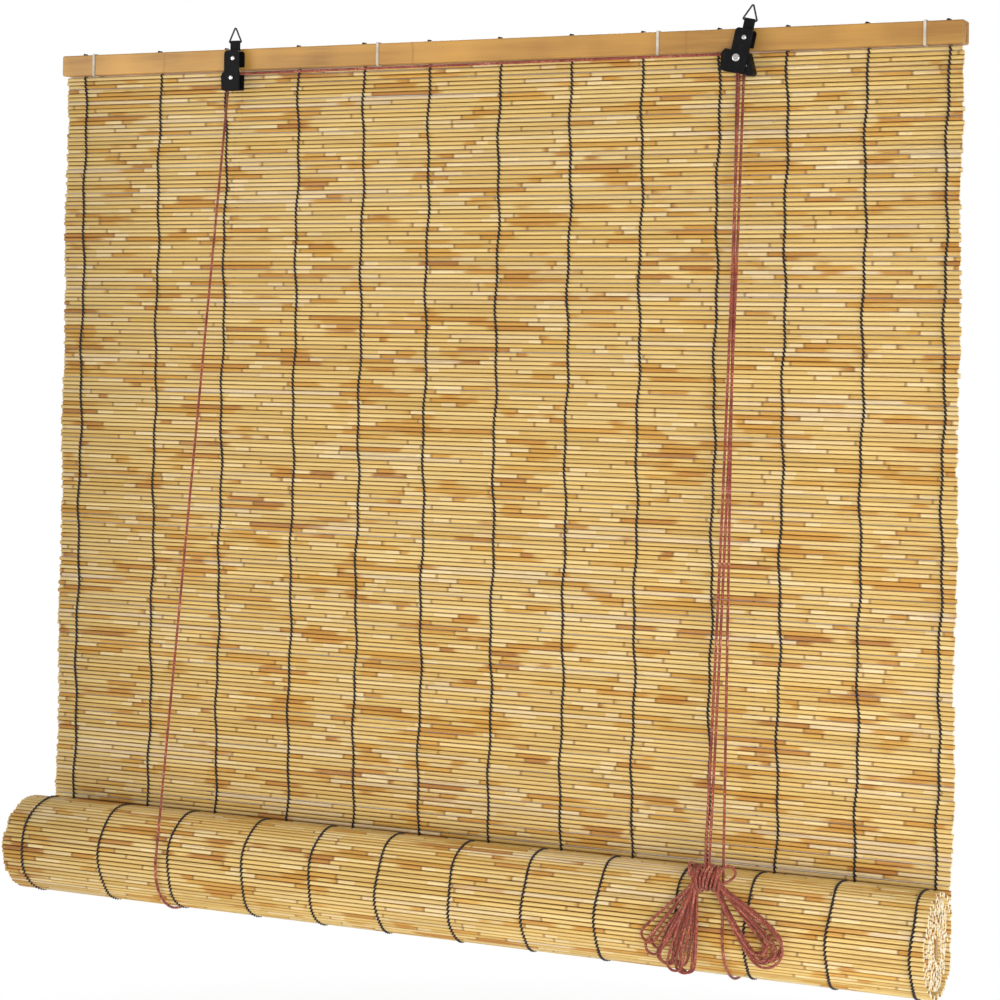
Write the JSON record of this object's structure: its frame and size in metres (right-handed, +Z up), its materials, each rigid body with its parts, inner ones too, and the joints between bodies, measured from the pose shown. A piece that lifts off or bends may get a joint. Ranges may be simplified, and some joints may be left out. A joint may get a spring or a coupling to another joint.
{
  "type": "reed roll up blind",
  "caption": "Roll-up window blind: reeds bound by black thread under a bamboo rail, rolled up from below by two cords over black pulley hangers, the slack tied in a bow.",
  "frame": {"origin": "on the hanging line at mid-length of the rail, level with the inner tops of the two hanging rings and in their plane", "axes": "+X along the rail towards the cord lock, -Y towards the room, +Z up"},
  "size_m": [1.009, 0.1272, 0.9353],
  "materials": {
    "reed": "dry straw-coloured reed, faintly glossy, streaked golden brown",
    "bamboo_slat": "varnished honey-coloured bamboo slat",
    "black_thread": "twisted black sewing twine",
    "white_tie": "thin white twine",
    "steel_wire": "plain steel wire",
    "rivet_steel": "bright domed rivets",
    "black_paint": "semi-gloss black enamel on pressed steel",
    "pulley_plastic": "black moulded plastic",
    "braided_cord": "braided terracotta cord with light flecks"
  },
  "bodies": {
    "rail": {"binding_thread_01": "black_thread", "binding_thread_02": "black_thread", "binding_thread_03": "black_thread", "binding_thread_04": "black_thread", "binding_thread_05": "black_thread", "binding_thread_06": "black_thread", "binding_thread_07": "black_thread", "binding_thread_08": "black_thread", "binding_thread_09": "black_thread", "binding_thread_10": "black_thread", "binding_thread_11": "black_thread", "binding_thread_12": "black_thread", "binding_thread_13": "black_thread", "head_rail": "bamboo_slat", "left_axle": "rivet_steel", "left_back_cord": "braided_cord", "left_cord_knot": "braided_cord", "left_cord_over_wheels": "braided_cord", "left_cord_staple": "steel_wire", "left_front_cord": "braided_cord", "left_housing": "black_paint", "left_rivet": "rivet_steel", "left_strap": "black_paint", "lock_axle": "rivet_steel", "lock_cam_pin": "rivet_steel", "lock_housing": "black_paint", "lock_rivet": "rivet_steel", "lock_strap": "black_paint", "pull_cord_a": "braided_cord", "pull_cord_b": "braided_cord", "rail_back_slat": "bamboo_slat", "rail_threads": "black_thread", "rail_tie_1": "white_tie", "rail_tie_2": "white_tie", "rail_tie_3": "white_tie", "rail_tie_4": "white_tie", "rail_top_reeds": "reed", "reed_sheet": "reed", "right_back_cord": "braided_cord", "right_cord_knot": "braided_cord", "right_cord_over_wheel": "braided_cord", "right_cord_staple": "steel_wire", "right_front_cord": "braided_cord"},
    "roll": {"roll_outer_turn": "reed", "roll_threads": "black_thread", "left_cord_under_roll": "braided_cord", "right_cord_under_roll": "braided_cord", "cord_hank": "braided_cord"},
    "inner_roll": {"roll_inner_turns": "reed", "bottom_batten": "bamboo_slat"},
    "left_ring": {"left_ring": "black_paint"},
    "lock_ring": {"lock_ring": "black_paint"},
    "left_wheel": {"left_wheel": "pulley_plastic"},
    "lock_wheel": {"lock_wheel": "pulley_plastic"},
    "lock_cam": {"lock_cam": "pulley_plastic"}
  },
  "joints": [
    {"name": "roll_lift", "type": "slide", "parent": "rail", "child": "roll", "axis": [0, 0, 1], "range_m": [0, 0.66], "deforming": ["reed_sheet", "binding_thread_01", "binding_thread_02", "binding_thread_03", "binding_thread_04", "binding_thread_05", "binding_thread_06", "binding_thread_07", "binding_thread_08", "binding_thread_09", "binding_thread_10", "binding_thread_11", "binding_thread_12", "binding_thread_13", "left_front_cord", "right_front_cord", "pull_cord_a", "pull_cord_b", "left_back_cord", "right_back_cord"]},
    {"name": "roll_turn", "type": "hinge", "parent": "roll", "child": "inner_roll", "pos_m": [0, -0.03485, -0.88065], "axis": [-1, 0, 0], "range_deg": [0, 780]},
    {"name": "left_ring_swing", "type": "hinge", "parent": "rail", "child": "left_ring", "pos_m": [-0.2806, 0, -0.0142], "axis": [1, 0, 0], "range_deg": [-60, 60]},
    {"name": "lock_ring_swing", "type": "hinge", "parent": "rail", "child": "lock_ring", "pos_m": [0.29527, 0, -0.01374], "axis": [0.9781, 0, -0.2079], "range_deg": [-60, 60]},
    {"name": "left_wheel_turn", "type": "hinge", "parent": "rail", "child": "left_wheel", "pos_m": [-0.2812, 0, -0.0524], "axis": [0, 1, 0], "continuous": true},
    {"name": "lock_wheel_turn", "type": "hinge", "parent": "rail", "child": "lock_wheel", "pos_m": [0.284, 0, -0.0504], "axis": [0, 1, 0], "continuous": true},
    {"name": "lock_cam_turn", "type": "hinge", "parent": "rail", "child": "lock_cam", "pos_m": [0.2939, 0, -0.05864], "axis": [0, 1, 0], "range_deg": [-90, 90]}
  ],
  "couplings": [
    {"joint": "roll_turn", "follows": "roll_lift", "rad_per_m": 20.5}
  ]
}
